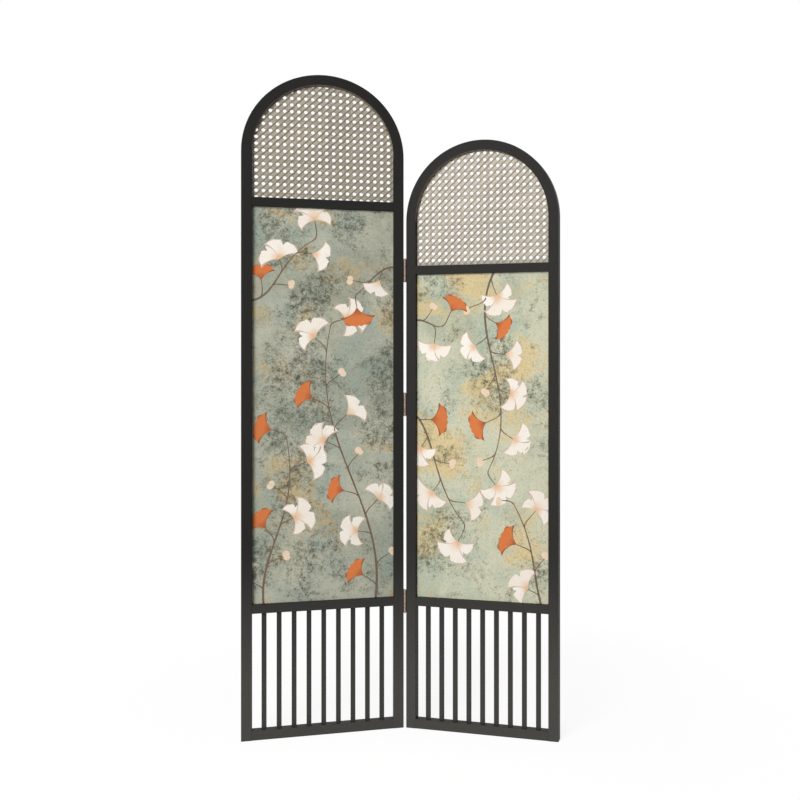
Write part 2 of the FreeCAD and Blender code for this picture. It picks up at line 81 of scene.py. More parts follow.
def box_of(points):
    """The lowest and highest corners of points."""
    return [Vector(limit(point[axis] for point in points) for axis in range(3)) for limit in (min, max)]


class PanelFrame:
    """One panel's own upright frame: x to the viewer's right, y back from the middle of its depth, z up."""

    def __init__(self, name):
        mounts = {mount["name"]: mount for mount in frame["record"]["mounts"]}
        edge = Vector(mounts[name + "_free_edge"]["axis"])
        across = edge if edge.x > 0 else -edge
        up = Vector((0, 0, 1))
        self.name = name
        self.body = name + "_panel"
        self.hinge_side = -1 if edge.x > 0 else 1
        self.back = up.cross(across)
        self.turn = math.atan2(across.y, across.x)
        self.matrix = Matrix((across, self.back, up)).transposed().to_4x4()
        self.matrix.translation = Vector(mounts[name + "_base"]["pos_m"])

    def node(self, part):
        """The name of this panel's node for a part."""
        return self.name + "_" + part

    def points(self, part):
        """A part's corner points in this frame."""
        inverse = self.matrix.inverted()
        return [inverse @ vertex.co for vertex in frame["nodes"][self.node(part)].data.vertices]

    def box(self, part):
        """A part's lowest and highest corners in this frame."""
        return box_of(self.points(part))


PANELS = [PanelFrame("tall"), PanelFrame("short")]


# Settings that a user would change

def amount(label, meaning, value, **kind):
    """A setting that is a number."""
    return FloatProperty(name=label, description=meaning, default=value, **kind)


def length(label, meaning, metres):
    """A setting that is a length."""
    return amount(label, meaning, metres, unit="LENGTH")


def tint(label, meaning, linear):
    """A setting that is a colour."""
    return FloatVectorProperty(name=label, description=meaning, default=linear, subtype="COLOR")


class CaneSettings(bpy.types.PropertyGroup):
    """Sizes and colours of the woven cane."""

    pitch_across: length("Pitch across", "From one upright pair to the next", 0.0207)
    pitch_up: length("Pitch up", "From one level pair to the next", 0.02015)
    strand_width: length("Strand width", "Width of the upright and level strands", 0.0050)
    diagonal_width: length("Diagonal width", "Width of the slanted strands", 0.0042)
    strand_thickness: length("Strand thickness", "Thickness of every strand", 0.0007)
    pair_spread: length("Pair spread", "From a pair's middle to each of its strands", 0.0027)
    weave_height: length("Weave height", "How far a strand rises and dips", 0.00045)
    colour: tint("Colour", "The pale skin of the cane", (0.515, 0.475, 0.405))
    # Painted shade: the slanted strands in front get a darker copy of the cane colour
    painted_shade_colour: tint("Painted shade colour", "Painted shade on the slanted strands that lie on top", (0.25, 0.225, 0.185))


class PrintSettings(bpy.types.PropertyGroup):
    """Colours and sizes of the printed boards."""

    ground: tint("Ground", "The print's grey-green ground", (0.41, 0.435, 0.345))
    pale: tint("Pale", "Worn, pale stretches of the ground", (0.63, 0.625, 0.505))
    teal: tint("Teal", "Cool stretches of the ground", (0.38, 0.475, 0.42))
    ochre: tint("Ochre", "Ochre patches of the ground", (0.74, 0.54, 0.26))
    moss: tint("Moss", "Dark specks of the ground", (0.075, 0.085, 0.06))
    ivory: tint("Ivory", "The pale fan leaves", (0.92, 0.87, 0.80))
    rust: tint("Rust", "The rust-coloured fan leaves", (0.70, 0.20, 0.055))
    stem: tint("Stem", "The stems", (0.10, 0.065, 0.045))
    fan_size: length("Pale fan", "Length of a pale fan leaf", 0.064)
    rust_size: length("Rust fan", "Length of a rust-coloured fan leaf", 0.060)
    seed_size: length("Seed", "Length of a round seed", 0.021)
    stem_width: length("Stem width", "Width of a stem at its foot", 0.0074)
    draw_seed: IntProperty(name="Draw", description="Seed of the print's small irregularities", default=7)


class FinishSettings(bpy.types.PropertyGroup):
    """Colours of the paint and the metal."""

    paint: tint("Paint", "The frame's charcoal-black paint", (0.0118, 0.0115, 0.0110))
    worn_paint: tint("Worn paint", "Paint along rubbed edges", (0.045, 0.042, 0.038))
    # Painted reflection: the arch's downward faces are much lighter than the paint
    soffit_reflection_paint: tint("Soffit reflection", "Painted reflection on the arch's lower faces", (0.19, 0.155, 0.118))
    # Painted light: the paint is lighter near the floor, standing in for light from the floor
    floor_lit_paint: tint("Floor-lit paint", "Paint made lighter near the floor by painted light", (0.064, 0.062, 0.057))
    bronze: tint("Bronze", "Rubbed bronze", (0.46, 0.345, 0.27))
    patina: tint("Patina", "Dark bronze in the hollows", (0.22, 0.13, 0.095))
    slot_width: length("Screw slot", "Width of a screw's slot", 0.0009)


class StageSettings(bpy.types.PropertyGroup):
    """Light of the studio."""

    key_power: amount("Key light", "Power of the large soft light in front", 385.0, unit="POWER")
    sky: amount("Sky", "Strength of the light from the horizon all round", 0.30)
    floor_white: amount("Floor white", "White of the floor as seen in full shadow", 0.88, subtype="FACTOR")


# Node trees

class Value:
    """An output of a node, and what can be made of its number or vector."""

    def __init__(self, nodes, socket):
        self.nodes = nodes
        self.socket = socket

    def math(self, operation, *others):
        """What an operation makes of this number and others."""
        return self.nodes.make("ShaderNodeMath", dict(enumerate((self, *others))), {"operation": operation})

    def __add__(self, other):
        return self.math("ADD", other)

    def __sub__(self, other):
        return self.math("SUBTRACT", other)

    def __mul__(self, other):
        return self.math("MULTIPLY", other)

    def __truediv__(self, other):
        return self.math("DIVIDE", other)

    def __neg__(self):
        return self * -1

    def __abs__(self):
        return self.math("ABSOLUTE")

    def hypotenuse(self, other):
        """The long side of a right triangle with two short sides."""
        return (self * self + other * other).math("SQRT")

    def ramp(self, low, high, share=1):
        """A soft step from 0 at low to a share at high."""
        return self.nodes.make("ShaderNodeMapRange", {0: self, 1: low, 2: high, 3: 0, 4: share},
                               {"interpolation_type": "SMOOTHSTEP"})

    def spread(self, low, high):
        """A number from 0 to 1 spread between two limits."""
        return self.nodes.make("ShaderNodeMapRange", {0: self, 1: 0, 2: 1, 3: low, 4: high})

    def mix(self, first, second):
        """A mix of two colours by this number."""
        return self.nodes.mix(self, first, second)

    def split(self):
        """The three numbers of a vector."""
        parts = self.nodes.add("ShaderNodeSeparateXYZ", {0: self}).outputs
        return [Value(self.nodes, part) for part in parts]

    def mapped(self, scale=(1, 1, 1), turn=0, shift=(0, 0, 0)):
        """Coordinates turned about the upright axis, stretched and moved."""
        inputs = {"Vector": self, "Location": shift, "Rotation": (0, 0, turn), "Scale": scale}
        return self.nodes.make("ShaderNodeMapping", inputs)

    def noise(self, scale, detail=4, roughness=0.55, distortion=0):
        """Cloudy noise between about 0 and 1 at these coordinates."""
        inputs = {"Vector": self, "Scale": scale, "Detail": detail, "Roughness": roughness,
                  "Distortion": distortion}
        return self.nodes.make("ShaderNodeTexNoise", inputs)


class Nodes:
    """A node tree, with short ways to add nodes and to join them."""

    def __init__(self, tree):
        self.tree = tree

    def add(self, kind, inputs=None, settings=None):
        """Add a node, set its properties and give its inputs values or links."""
        node = self.tree.nodes.new(kind)
        for name, value in (settings or {}).items():
            setattr(node, name, value)
        for key, value in (inputs or {}).items():
            self.feed(node.inputs[key], value)
        return node

    def make(self, kind, inputs=None, settings=None, output=0):
        """Add a node and return one of its outputs."""
        return Value(self, self.add(kind, inputs, settings).outputs[output])

    def feed(self, socket, value):
        """Link a socket to an output, or set its value."""
        if isinstance(value, Value):
            self.tree.links.new(value.socket, socket)
        else:
            socket.default_value = value

    def combine(self, x=0, y=0, z=0):
        """A vector of three numbers."""
        return self.make("ShaderNodeCombineXYZ", {0: x, 1: y, 2: z})

    def coordinates(self, kind):
        """One kind of texture coordinates."""
        return self.make("ShaderNodeTexCoord", output=kind)

    def mix(self, factor, first, second, blend="MIX"):
        """A mix of two colours."""
        settings = {"data_type": "RGBA", "blend_type": blend, "clamp_factor": True}
        inputs = {0: factor}
        for key, colour in ((6, first), (7, second)):
            inputs[key] = colour if isinstance(colour, Value) else (*colour[:3], 1)
        return self.make("ShaderNodeMix", inputs, settings, 2)

    def attribute(self, name):
        """A number that the mesh carries."""
        return self.make("ShaderNodeAttribute", None, {"attribute_name": name}, "Fac")


class Surface(Nodes):
    """A new material's nodes, with its shader and its object coordinates."""

    def __init__(self, name):
        self.material = bpy.data.materials.new(name)
        self.material.use_nodes = True
        super().__init__(self.material.node_tree)
        self.shader = self.tree.nodes["Principled BSDF"]
        self.place = self.coordinates("Object")

    def finish(self, colour, roughness, height, strength, distance, others=None):
        """Give the shader its colour, roughness, relief and other inputs, and return the material."""
        relief = self.make("ShaderNodeBump", {"Height": height, "Strength": strength, "Distance": distance})
        inputs = {"Base Color": colour, "Roughness": roughness, "Normal": relief, **(others or {})}
        for name, value in inputs.items():
            self.feed(self.shader.inputs[name], value)
        return self.material


class Shapes(Nodes):
    """A new geometry tree with named inputs, most of them numbers."""

    def __init__(self, name, others, numbers):
        super().__init__(bpy.data.node_groups.new(name, "GeometryNodeTree"))
        sockets = self.tree.interface
        sockets.new_socket("Geometry", in_out="OUTPUT", socket_type="NodeSocketGeometry")
        kinds = {**others, **{label: "Float" for label in numbers}}
        for label, kind in kinds.items():
            sockets.new_socket(label, in_out="INPUT", socket_type="NodeSocket" + kind)
        given = self.add("NodeGroupInput").outputs
        self.given = {socket.name: Value(self, socket) for socket in given}

    def shape(self, kind, inputs=None, settings=None, output=0):
        """Add a geometry node and return one of its outputs."""
        return self.make("GeometryNode" + kind, inputs, settings, output)

    def position(self):
        """The three numbers of a point's place."""
        return self.shape("InputPosition").split()

    def random(self, inputs):
        """A random number, from 0 to 1 unless the inputs say otherwise."""
        return self.make("FunctionNodeRandomValue", inputs, {"data_type": "FLOAT"}, 1)

    def store(self, geometry, name, domain, value):
        """Keep a number with the geometry, for its finish to read."""
        return self.shape("StoreNamedAttribute", {"Geometry": geometry, "Name": name, "Value": value},
                          {"data_type": "FLOAT", "domain": domain})

    def join(self, parts):
        """Several geometries as one."""
        joined = self.add("GeometryNodeJoinGeometry")
        for part in parts:
            self.feed(joined.inputs[0], part)
        return Value(self, joined.outputs[0])

    def end(self, geometry):
        """Lead a geometry to the tree's output and return the tree."""
        self.add("NodeGroupOutput", {0: geometry})
        return self.tree


def add_object(name, data):
    """A new object in the scene."""
    made = bpy.data.objects.new(name, data)
    bpy.context.scene.collection.objects.link(made)
    return made


def run_tree(tree, values, mesh=None):
    """Evaluate a geometry tree with named inputs and return what it makes as a plain mesh."""
    carrier = add_object("carrier", mesh or bpy.data.meshes.new("carrier"))
    modifier = carrier.modifiers.new("nodes", "NODES")
    modifier.node_group = tree
    for item in tree.interface.items_tree:
        if item.in_out == "INPUT" and item.name in values:
            modifier[item.identifier] = values[item.name]
    depsgraph = bpy.context.evaluated_depsgraph_get()
    made = bpy.data.meshes.new_from_object(carrier.evaluated_get(depsgraph), preserve_all_data_layers=True,
                                           depsgraph=depsgraph)
    bpy.data.objects.remove(carrier)
    if not made.polygons:
        raise RuntimeError(tree.name + " made nothing")
    for slot in reversed(range(len(made.materials))):
        if made.materials[slot] is None:
            made.materials.pop(index=slot)
    return made


# Pieces

def dress(node, material):
    """Give a solid of the frame its finish."""
    mesh = frame["nodes"][node].data
    mesh.materials.clear()
    mesh.materials.append(material)


def place_piece(panel, name, mesh, node):
    """Stand a finished mesh in its panel, where it shows in place of a node."""
    mesh.transform(panel.matrix)
    piece = add_object(panel.node(name), mesh)
    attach(piece, panel.body)
    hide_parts(node)


# Painted frames

# For each grain: its stretch, its share of painted floor light, and what the names of such pieces hold
GRAINS = {
    "upright": ((1.0, 1.0, 0.05), 1.0, ("_stile", "_bead_left", "_bead_right")),
    "slat": ((1.0, 1.0, 0.05), 0.7, ("_slat_",)),
    "level": ((0.05, 1.0, 1.0), 0.9, ("_rail", "_bead_top", "_bead_bottom", "_bottom_bead")),
    "bent": ((0.5, 1.0, 0.5), 1.0, ("_arch_",)),
}
CLOUD_PAINT = (0.020, 0.0195, 0.0185)
PORE_PAINT = (0.006, 0.006, 0.0055)
FACE_SHEEN = 0.15
SIDE_SHEEN = 0.03
SHEEN_TINT = (1.0, 0.98, 0.94, 1.0)

# Heights between which painted light from the floor makes the paint lighter towards the floor
FLOOR_LIGHT_TOP, FLOOR_LIGHT_FOOT = 0.62, 0.08

# Painted light: the short panel's paint is made much lighter, standing in for the stronger light on it
PAINT_PAINTED_LIGHT = {"tall": (1.0, 1.0, 1.0), "short": (1.6, 1.58, 1.52)}


def painted_wood(panel, grain):
    """Charcoal-black paint: satin on the faces, duller on the sides, rubbed arrises and painted floor light low
    down.
    """
    settings = bpy.context.scene.screen_finish
    paint = Surface(panel.node("paint_" + grain))
    stretch, floor_light_share, _ = GRAINS[grain]
    fibres = paint.place.mapped(turn=-panel.turn).mapped(stretch).noise(900, 3, 0.6)
    clouds = paint.place.noise(9, 3)
    scuffs = paint.place.noise(38, 5, 0.65)
    normal = paint.coordinates("Normal")
    inputs = {0: normal, 1: tuple(panel.back)}
    square = abs(paint.make("ShaderNodeVectorMath", inputs, {"operation": "DOT_PRODUCT"}, "Value"))
    off_face = square.ramp(0.97, 0.8)
    rubbed = square.ramp(0.25, 0.6) * off_face * scuffs.ramp(0.42, 0.68)
    clouded = clouds.spread(0, 0.35).mix(settings.paint, CLOUD_PAINT)
    # Painted light: the paint is multiplied by its panel's share of painted light
    toned = paint.mix(1, clouded, PAINT_PAINTED_LIGHT[panel.name], "MULTIPLY")
    # Painted light from the floor: lighter towards the floor, less on the set-back slats
    floor_light = paint.place.split()[2].ramp(FLOOR_LIGHT_TOP, FLOOR_LIGHT_FOOT, floor_light_share)
    floor_lit = floor_light.mix(toned, settings.floor_lit_paint)
    grained = fibres.ramp(0.5, 0.75, 0.25).mix(floor_lit, PORE_PAINT)
    worn = rubbed.mix(grained, settings.worn_paint)
    # Painted reflection: faces of the arch that look down are made much lighter
    if grain == "bent":
        painted_soffit_reflection = off_face * normal.split()[2].ramp(0.1, -0.2)
        worn = painted_soffit_reflection.mix(worn, settings.soffit_reflection_paint)
    gloss = clouds.spread(0.26, 0.38) + fibres * 0.06
    sheen = square.ramp(0.3, 0.9).spread(SIDE_SHEEN, FACE_SHEEN)
    return paint.finish(worn, gloss, fibres, strength=0.22, distance=0.0004,
                        others={"Specular IOR Level": sheen, "Specular Tint": SHEEN_TINT})


def raw_beech():
    """Pale dowel wood with its grain along the dowel."""
    wood = Surface("raw_beech")
    grain = wood.place.mapped((1, 1, 0.06)).noise(700, 4, 0.6)
    colour = grain.mix((0.70, 0.50, 0.31), (0.50, 0.33, 0.18))
    return wood.finish(colour, grain.spread(0.55, 0.75), grain, strength=0.3, distance=0.0003)


class SCREEN_OT_paint_frames(bpy.types.Operator):
    """Paint both frames, their slats and their beads"""

    bl_idname = "screen.paint_frames"
    bl_label = "Paint frames"

    def execute(self, context):
        beech = raw_beech()
        for panel in PANELS:
            own_nodes = [node for node in frame["nodes"] if node.startswith(panel.node(""))]
            for grain, (_, _, parts) in GRAINS.items():
                paint = painted_wood(panel, grain)
                for node in own_nodes:
                    if any(part in node for part in parts):
                        dress(node, paint)
            dress(panel.node("arch_dowels"), beech)
        return {"FINISHED"}


# Woven cane

STRANDS = 61
STRAND_REACH = 0.9
WAVE_STEPS = 6
FEWEST_POINTS = 4
CANE_LAYER = 0.0009
CANE_TUCK = 0.0015

# A strand's section is a flattened hexagon, which is this wide when its corners lie on a circle of radius 1
PROFILE_SIDES = 6
PROFILE_WIDTH = 1.732

# Sizes of the weave, what one family of strands has of its own, and what it takes from the whole field
SIZES = ("Pitch Across", "Pitch Up", "Strand Width", "Diagonal Width", "Pair Spread", "Weave Height")
FAMILY = ("Spacing", "Offset", "Angle", "Wave Length", "Wave Height", "Layer", "Width")
FIELD = ("Thickness", "First Column", "First Row", "Springing", "Outline Radius", "Foot")

# How the weave happens to fall in each frame: to the right of the middle, and up from the rail
WEAVE_START = {"tall": (-0.0014, 0.0025), "short": (-0.0023, -0.0031)}

# Painted shade and light: each panel's cane is made darker or lighter, standing in for the light on it
CANE_PAINTED_LIGHT = {"tall": (0.77, 0.74, 0.67), "short": (1.14, 1.12, 1.09)}

# Shares of the colour: a strand's edges in painted shade, its fibres, the darkest strand and the lightest strand
CANE_SHARES = (0.45, 0.62, 0.80, 1.32)
CANE_STAIN = (0.30, 0.22, 0.12)
CANE_BLEACH = (0.44, 0.41, 0.35)


def cane_skin(name, colour):
    """Split cane: fine fibres along the strand, each strand a little lighter or darker."""
    cane = Surface(name)
    tone, along, across = (cane.attribute("strand_" + word) for word in ("tone", "along", "across"))
    strand = cane.combine(across * 3, along * 45, tone * 91)
    fibres = strand.noise(3.5, 4, 0.6)
    edge, fibre, dark, light = ([min(1, part * share) for part in colour] for share in CANE_SHARES)
    fibred = fibres.ramp(0.45, 0.75, 0.45).mix(tone.mix(dark, light), fibre)
    stained = strand.noise(0.6, 2).ramp(0.55, 0.8, 0.35).mix(fibred, CANE_STAIN)
    bleached = strand.noise(1.7, 2).ramp(0.48, 0.66, 0.5).mix(stained, CANE_BLEACH)
    # Painted shade: each strand is darker towards its edges
    edge_shaded = abs(across).ramp(0.55, 1, 0.5).mix(bleached, edge)
    return cane.finish(edge_shaded, fibres.spread(0.42, 0.68), fibres, strength=0.35, distance=0.0003)


def strand_tree():
    """One family of parallel strands that rise and dip as they run, cut to an arched outline."""
    tree = Shapes("cane strands", {"Material": "Material", "Seed": "Int"}, FAMILY + FIELD)
    given = tree.given
    number = tree.shape("InputIndex") - (STRANDS - 1) / 2
    across = number * given["Spacing"] + given["Offset"]
    points = tree.shape("Points", {"Count": STRANDS, "Position": tree.combine(across)})
    ends = {"Start": (0, 0, -STRAND_REACH / 2), "End": (0, 0, STRAND_REACH / 2)}
    line = tree.shape("CurvePrimitiveLine", ends)
    step = given["Wave Length"] / WAVE_STEPS
    fine = tree.shape("ResampleCurve", {"Curve": line, "Length": step}, {"mode": "LENGTH"})
    copies = tree.shape("InstanceOnPoints", {"Points": points, "Instance": fine})
    strands = tree.shape("RealizeInstances", {"Geometry": copies})
    phase = tree.position()[2] * math.tau / given["Wave Length"]
    rise = phase.math("SINE") * given["Wave Height"] + given["Layer"]
    waved = tree.shape("SetPosition", {"Geometry": strands, "Offset": tree.combine(0, rise)})
    turned = tree.shape("Transform", {
        "Geometry": waved, "Rotation": tree.combine(0, given["Angle"]),
        "Translation": tree.combine(given["First Column"], 0, given["First Row"])})
    return tree.end(strand_skin(tree, cut_to_arch(tree, turned)))


def cut_to_arch(tree, strands):
    """Remove the points of strands that lie outside an arched outline, and stubs that are left."""
    across, _, height = tree.position()
    above = (height - tree.given["Springing"]).math("MAXIMUM", 0)
    beyond = above.hypotenuse(across).math("GREATER_THAN", tree.given["Outline Radius"])
    outside = beyond.math("MAXIMUM", height.math("LESS_THAN", tree.given["Foot"]))
    kept = tree.shape("DeleteGeometry", {"Geometry": strands, "Selection": outside}, {"domain": "POINT"})
    stub = tree.shape("SplineLength", output="Point Count").math("LESS_THAN", FEWEST_POINTS)
    return tree.shape("DeleteGeometry", {"Geometry": kept, "Selection": stub}, {"domain": "CURVE"})


def strand_skin(tree, strands):
    """Give strands their flat section, the numbers that their finish reads, and their finish."""
    given = tree.given
    tone = tree.random({"ID": tree.shape("InputIndex"), "Seed": given["Seed"]})
    toned = tree.store(strands, "strand_tone", "CURVE", tone)
    run = tree.shape("SplineParameter", output="Length")
    measured = tree.store(toned, "strand_along", "POINT", run)
    level = tree.shape("SetCurveNormal", {"Curve": measured, "Normal": (0, 1, 0)}, {"mode": "FREE"})
    circle = tree.shape("CurvePrimitiveCircle", {"Resolution": PROFILE_SIDES, "Radius": 1})
    marked = tree.store(circle, "strand_across", "POINT", tree.position()[1])
    size = tree.combine(given["Thickness"] / 2, given["Width"] / PROFILE_WIDTH, 1)
    flat = tree.shape("Transform", {"Geometry": marked, "Scale": size})
    solid = tree.shape("CurveToMesh", {"Curve": level, "Profile Curve": flat, "Fill Caps": True})
    whole = tree.shape("RealizeInstances", {"Geometry": solid})
    smooth = tree.shape("SetShadeSmooth", {"Geometry": whole})
    return tree.shape("SetMaterial", {"Geometry": smooth, "Material": given["Material"]})


def webbing_tree():
    """A field of open cane: woven upright and level pairs between two layers of slanted strands."""
    tree = Shapes("open cane", {"Pale Cane": "Material", "Shaded Cane": "Material"}, SIZES + FIELD)
    given = tree.given
    across, up = given["Pitch Across"], given["Pitch Up"]
    spread, height = given["Pair Spread"], given["Weave Height"]
    slope = across.math("ARCTAN2", up)
    diagonal = across.hypotenuse(up)
    slant_spacing = across * up / diagonal
    half_up = up / 2
    sunk = -height
    quarter = math.pi / 2
    woven = (given["Strand Width"], given["Pale Cane"])
    # The slanted strands in front take the copy of the cane with painted shade
    front = (given["Diagonal Width"], given["Shaded Cane"])
    rear = (given["Diagonal Width"], given["Pale Cane"])
    families = [
        (across, -spread, 0, up, height, 0, *woven),
        (across, spread, 0, up, sunk, 0, *woven),
        (up, half_up + spread, quarter, across, height, 0, *woven),
        (up, half_up - spread, quarter, across, sunk, 0, *woven),
        (slant_spacing, 0, slope, diagonal, 0, -CANE_LAYER, *front),
        (slant_spacing, 0, -slope, diagonal, 0, CANE_LAYER, *rear),
    ]
    strands = strand_tree()
    parts = []
    for seed, family in enumerate(families):
        values = {name: given[name] for name in FIELD}
        values.update(zip((*FAMILY, "Material"), family))
        values["Seed"] = seed
        parts.append(tree.shape("Group", values, {"node_tree": strands}))
    return tree.end(tree.shape("RealizeInstances", {"Geometry": tree.join(parts)}))


class SCREEN_OT_weave_cane(bpy.types.Operator):
    """Weave the open cane of both panels"""

    bl_idname = "screen.weave_cane"
    bl_label = "Weave cane"

    def execute(self, context):
        settings = context.scene.screen_cane
        tree = webbing_tree()
        for panel in PANELS:
            # Painted shade and light: the panel's share of the cane colour
            tone = Vector(CANE_PAINTED_LIGHT[panel.name])
            pale = cane_skin(panel.node("cane_pale"), tone * Vector(settings.colour))
            shaded = cane_skin(panel.node("cane_shaded"), tone * Vector(settings.painted_shade_colour))
            low, high = panel.box("cane_webbing")
            rail_top = panel.box("upper_rail")[1].z
            right, up = WEAVE_START[panel.name]
            values = {name: getattr(settings, name.lower().replace(" ", "_")) for name in SIZES}
            values.update({
                "Thickness": settings.strand_thickness, "First Column": right, "First Row": rail_top + up,
                "Springing": high.z - high.x, "Outline Radius": high.x - CANE_TUCK,
                "Foot": low.z + CANE_TUCK, "Pale Cane": pale, "Shaded Cane": shaded})
            mesh = run_tree(tree, values)
            mesh.transform(Matrix.Translation((0, (low.y + high.y) / 2, 0)))
            place_piece(panel, "cane", mesh, panel.node("cane_webbing"))
        return {"FINISHED"}


# Inks of the printed boards

CANVAS_THREADS = {"Scale": 260.0, "Distortion": 1.2, "Detail": 2.0, "Detail Scale": 0.4}
CANVAS_WEAR = (0.66, 0.64, 0.56)
CANVAS_SHADE = (0.25, 0.25, 0.2)
CANVAS_SHEEN = 0.3

# How the mottling falls on each board; and painted shade and light, which make the tall board darker than the
# short
GROUND_SHIFT = {"tall": (0.9, 1.3, 0.4), "short": (2.6, 0.7, 5.1)}
GROUND_PAINTED_LIGHT = {"tall": (0.77, 0.765, 0.755), "short": (0.97, 0.97, 0.90)}

# Where each board's pale stretches, ochre patches and dark clouds set in, and over what span
GROUND_STARTS = {"tall": (0.36, 0.545, 0.435), "short": (0.27, 0.495, 0.470)}
PALE_SPAN, OCHRE_SPAN, CLOUD_SPAN = 0.28, 0.13, 0.2

# Colours of the fan leaves' feet, ribs and outlines, of the smaller inks and of the board's back
IVORY_FOOT, IVORY_RIB, IVORY_OUTLINE = (0.78, 0.44, 0.22), (0.72, 0.58, 0.44), (0.48, 0.32, 0.21)
RUST_FOOT, RUST_RIB, RUST_OUTLINE = (0.34, 0.09, 0.035), (0.45, 0.115, 0.04), (0.17, 0.07, 0.04)
STEM_LIGHT = (0.22, 0.15, 0.10)
SEED_LIGHT, SEED_DEEP = (0.86, 0.78, 0.66), (0.72, 0.46, 0.26)
BOARD_BROWN, BOARD_FLECK, BOARD_CLOUD = (0.20, 0.135, 0.085), (0.31, 0.225, 0.15), (0.16, 0.11, 0.075)


def finish_canvas(ink, colour):
    """The matt canvas that every printed colour shares: its fine plain weave and its soft wear."""
    inputs = {"Vector": ink.place, **CANVAS_THREADS}
    ways = [{"bands_direction": axis} for axis in ("X", "Z")]
    warp, weft = (ink.make("ShaderNodeTexWave", inputs, way, "Fac") for way in ways)
    weave = warp + weft
    faded = ink.place.noise(120, 5, 0.7).ramp(0.58, 0.74, 0.22).mix(colour, CANVAS_WEAR)
    shaded = weave.spread(0, 0.05).mix(faded, CANVAS_SHADE)
    return ink.finish(shaded, weave.spread(0.70, 0.82), weave, strength=0.12, distance=0.0003,
                      others={"Specular IOR Level": CANVAS_SHEEN})


def print_ground(panel):
    """A distressed ground: grey-green that turns teal and pale, with ochre patches and dark specks."""
    settings = bpy.context.scene.screen_print
    ink = Surface(panel.node("print_ground"))
    spot = ink.place.mapped(shift=GROUND_SHIFT[panel.name])
    broad = spot.noise(5, 6, 0.62, 0.4)
    drift = spot.mapped(shift=(4, 9, 2)).noise(6.5, 5, 0.6, 0.5)
    patches = spot.mapped((1, 1, 1.3), shift=(1, 7, 3)).noise(5, 4, 0.55, 0.6)
    clouds = spot.mapped(shift=(5, 2, 8)).noise(6, 5, 0.65, 0.6)
    sponge = spot.mapped(shift=(2, 3, 1)).noise(62, 6, 0.75)
    grit = spot.noise(190, 4, 0.7)
    pale, ochre, cloud = GROUND_STARTS[panel.name]
    faded = broad.ramp(pale, pale + PALE_SPAN).mix(settings.ground, settings.pale)
    cool = drift.ramp(0.46, 0.66, 0.6).mix(faded, settings.teal)
    rough = (sponge - 0.5) * 0.45 + (grit - 0.5) * 0.35
    golden = (patches + rough).ramp(ochre, ochre + OCHRE_SPAN, 0.72).mix(cool, settings.ochre)
    cloudy = (clouds + rough * 0.5).ramp(cloud, cloud + CLOUD_SPAN)
    mottled = (cloudy * sponge.ramp(0.36, 0.68)).mix(golden, settings.moss)
    specked = (grit.ramp(0.50, 0.68) * cloudy.spread(0.32, 0.85)).mix(mottled, settings.moss)
    chalked = grit.ramp(0.47, 0.30, 0.5).mix(specked, settings.pale)
    # Painted shade and light: the ground is multiplied by its board's share of painted light
    return finish_canvas(ink, ink.mix(1, chalked, GROUND_PAINTED_LIGHT[panel.name], "MULTIPLY"))


def fan_places(ink):
    """A fan leaf's own coordinates: reach from its stalk, angle off its middle, nearness to its outline."""
    across, along, _ = ink.make("ShaderNodeUVMap", settings={"uv_map": "motif"}).split()
    reach = across.hypotenuse(along)
    angle = across.math("ARCTAN2", along)
    limit = reach * (FAN_SPREAD * (1 - FAN_FOOT)) + FAN_SPREAD * FAN_FOOT
    return reach, angle, (abs(angle) / limit).math("MAXIMUM", reach)


def painted_fan(name, foot, body, rib, outline):
    """A painted fan leaf: its colour spreads from the foot, with fine ribs and a drawn outline."""
    ink = Surface(name)
    reach, angle, edge = fan_places(ink)
    wander = ink.place.noise(60, 3)
    brush = ink.place.noise(45, 5, 0.65)
    ribs = (angle * 42 + wander * 5).math("SINE")
    spread = (wander * 0.3 + reach).ramp(0.22, 0.72).mix(foot, body)
    ribbed = ribs.ramp(0.55, 1, 0.40).mix(spread, rib)
    brushed = brush.ramp(0.52, 0.72, 0.30).mix(ribbed, rib)
    toned = (ink.attribute("motif_tone") * 0.25).mix(brushed, rib)
    drawn = (wander * 0.08 + edge).ramp(0.93, 1, 0.75)
    return finish_canvas(ink, drawn.mix(toned, outline))


def plain_ink(name, colour, other):
    """A printed colour that clouds a little between two tones."""
    ink = Surface(name)
    return finish_canvas(ink, ink.place.noise(85, 5, 0.6).mix(colour, other))


def board_backing():
    """The board's edges and back: brown pressed board with a pale fleck."""
    board = Surface("board_backing")
    flecks = board.place.noise(260, 6, 0.7)
    flecked = flecks.ramp(0.4, 0.7).mix(BOARD_BROWN, BOARD_FLECK)
    clouded = board.place.noise(14, 3).spread(0, 0.4).mix(flecked, BOARD_CLOUD)
    return board.finish(clouded, flecks.spread(0.62, 0.80), flecks, strength=0.25, distance=0.0004)


# Design of the printed boards

GROUND, STEM, FAN, RUST_FAN, SEED, BACKING = range(6)

# A fan leaf of unit length: half its angle, the share of it at the stalk, and the reach of its sides
FAN_SPREAD = 1.05
FAN_FOOT = 0.42
SIDE_STEPS = 6
SIDE_START, SIDE_REACH = 0.07, 0.86

# Its wavy rim with the cleft in its middle
RIM_STEPS = 24
RIM_REACH, RIM_WAVE, RIM_WAVES = 0.95, 0.045, 11
CLEFT_WIDTH = 0.10
PALE_CLEFT, RUST_CLEFT = 0.30, 0.12

SEED_SIDES = 14
SEED_HALF_WIDTH = 0.46
MOTIF_OVERLAP = 0.08
STEM_POINTS = 28
STEM_TIP = 0.35
STEM_WOBBLE = (0.42, 0.58)

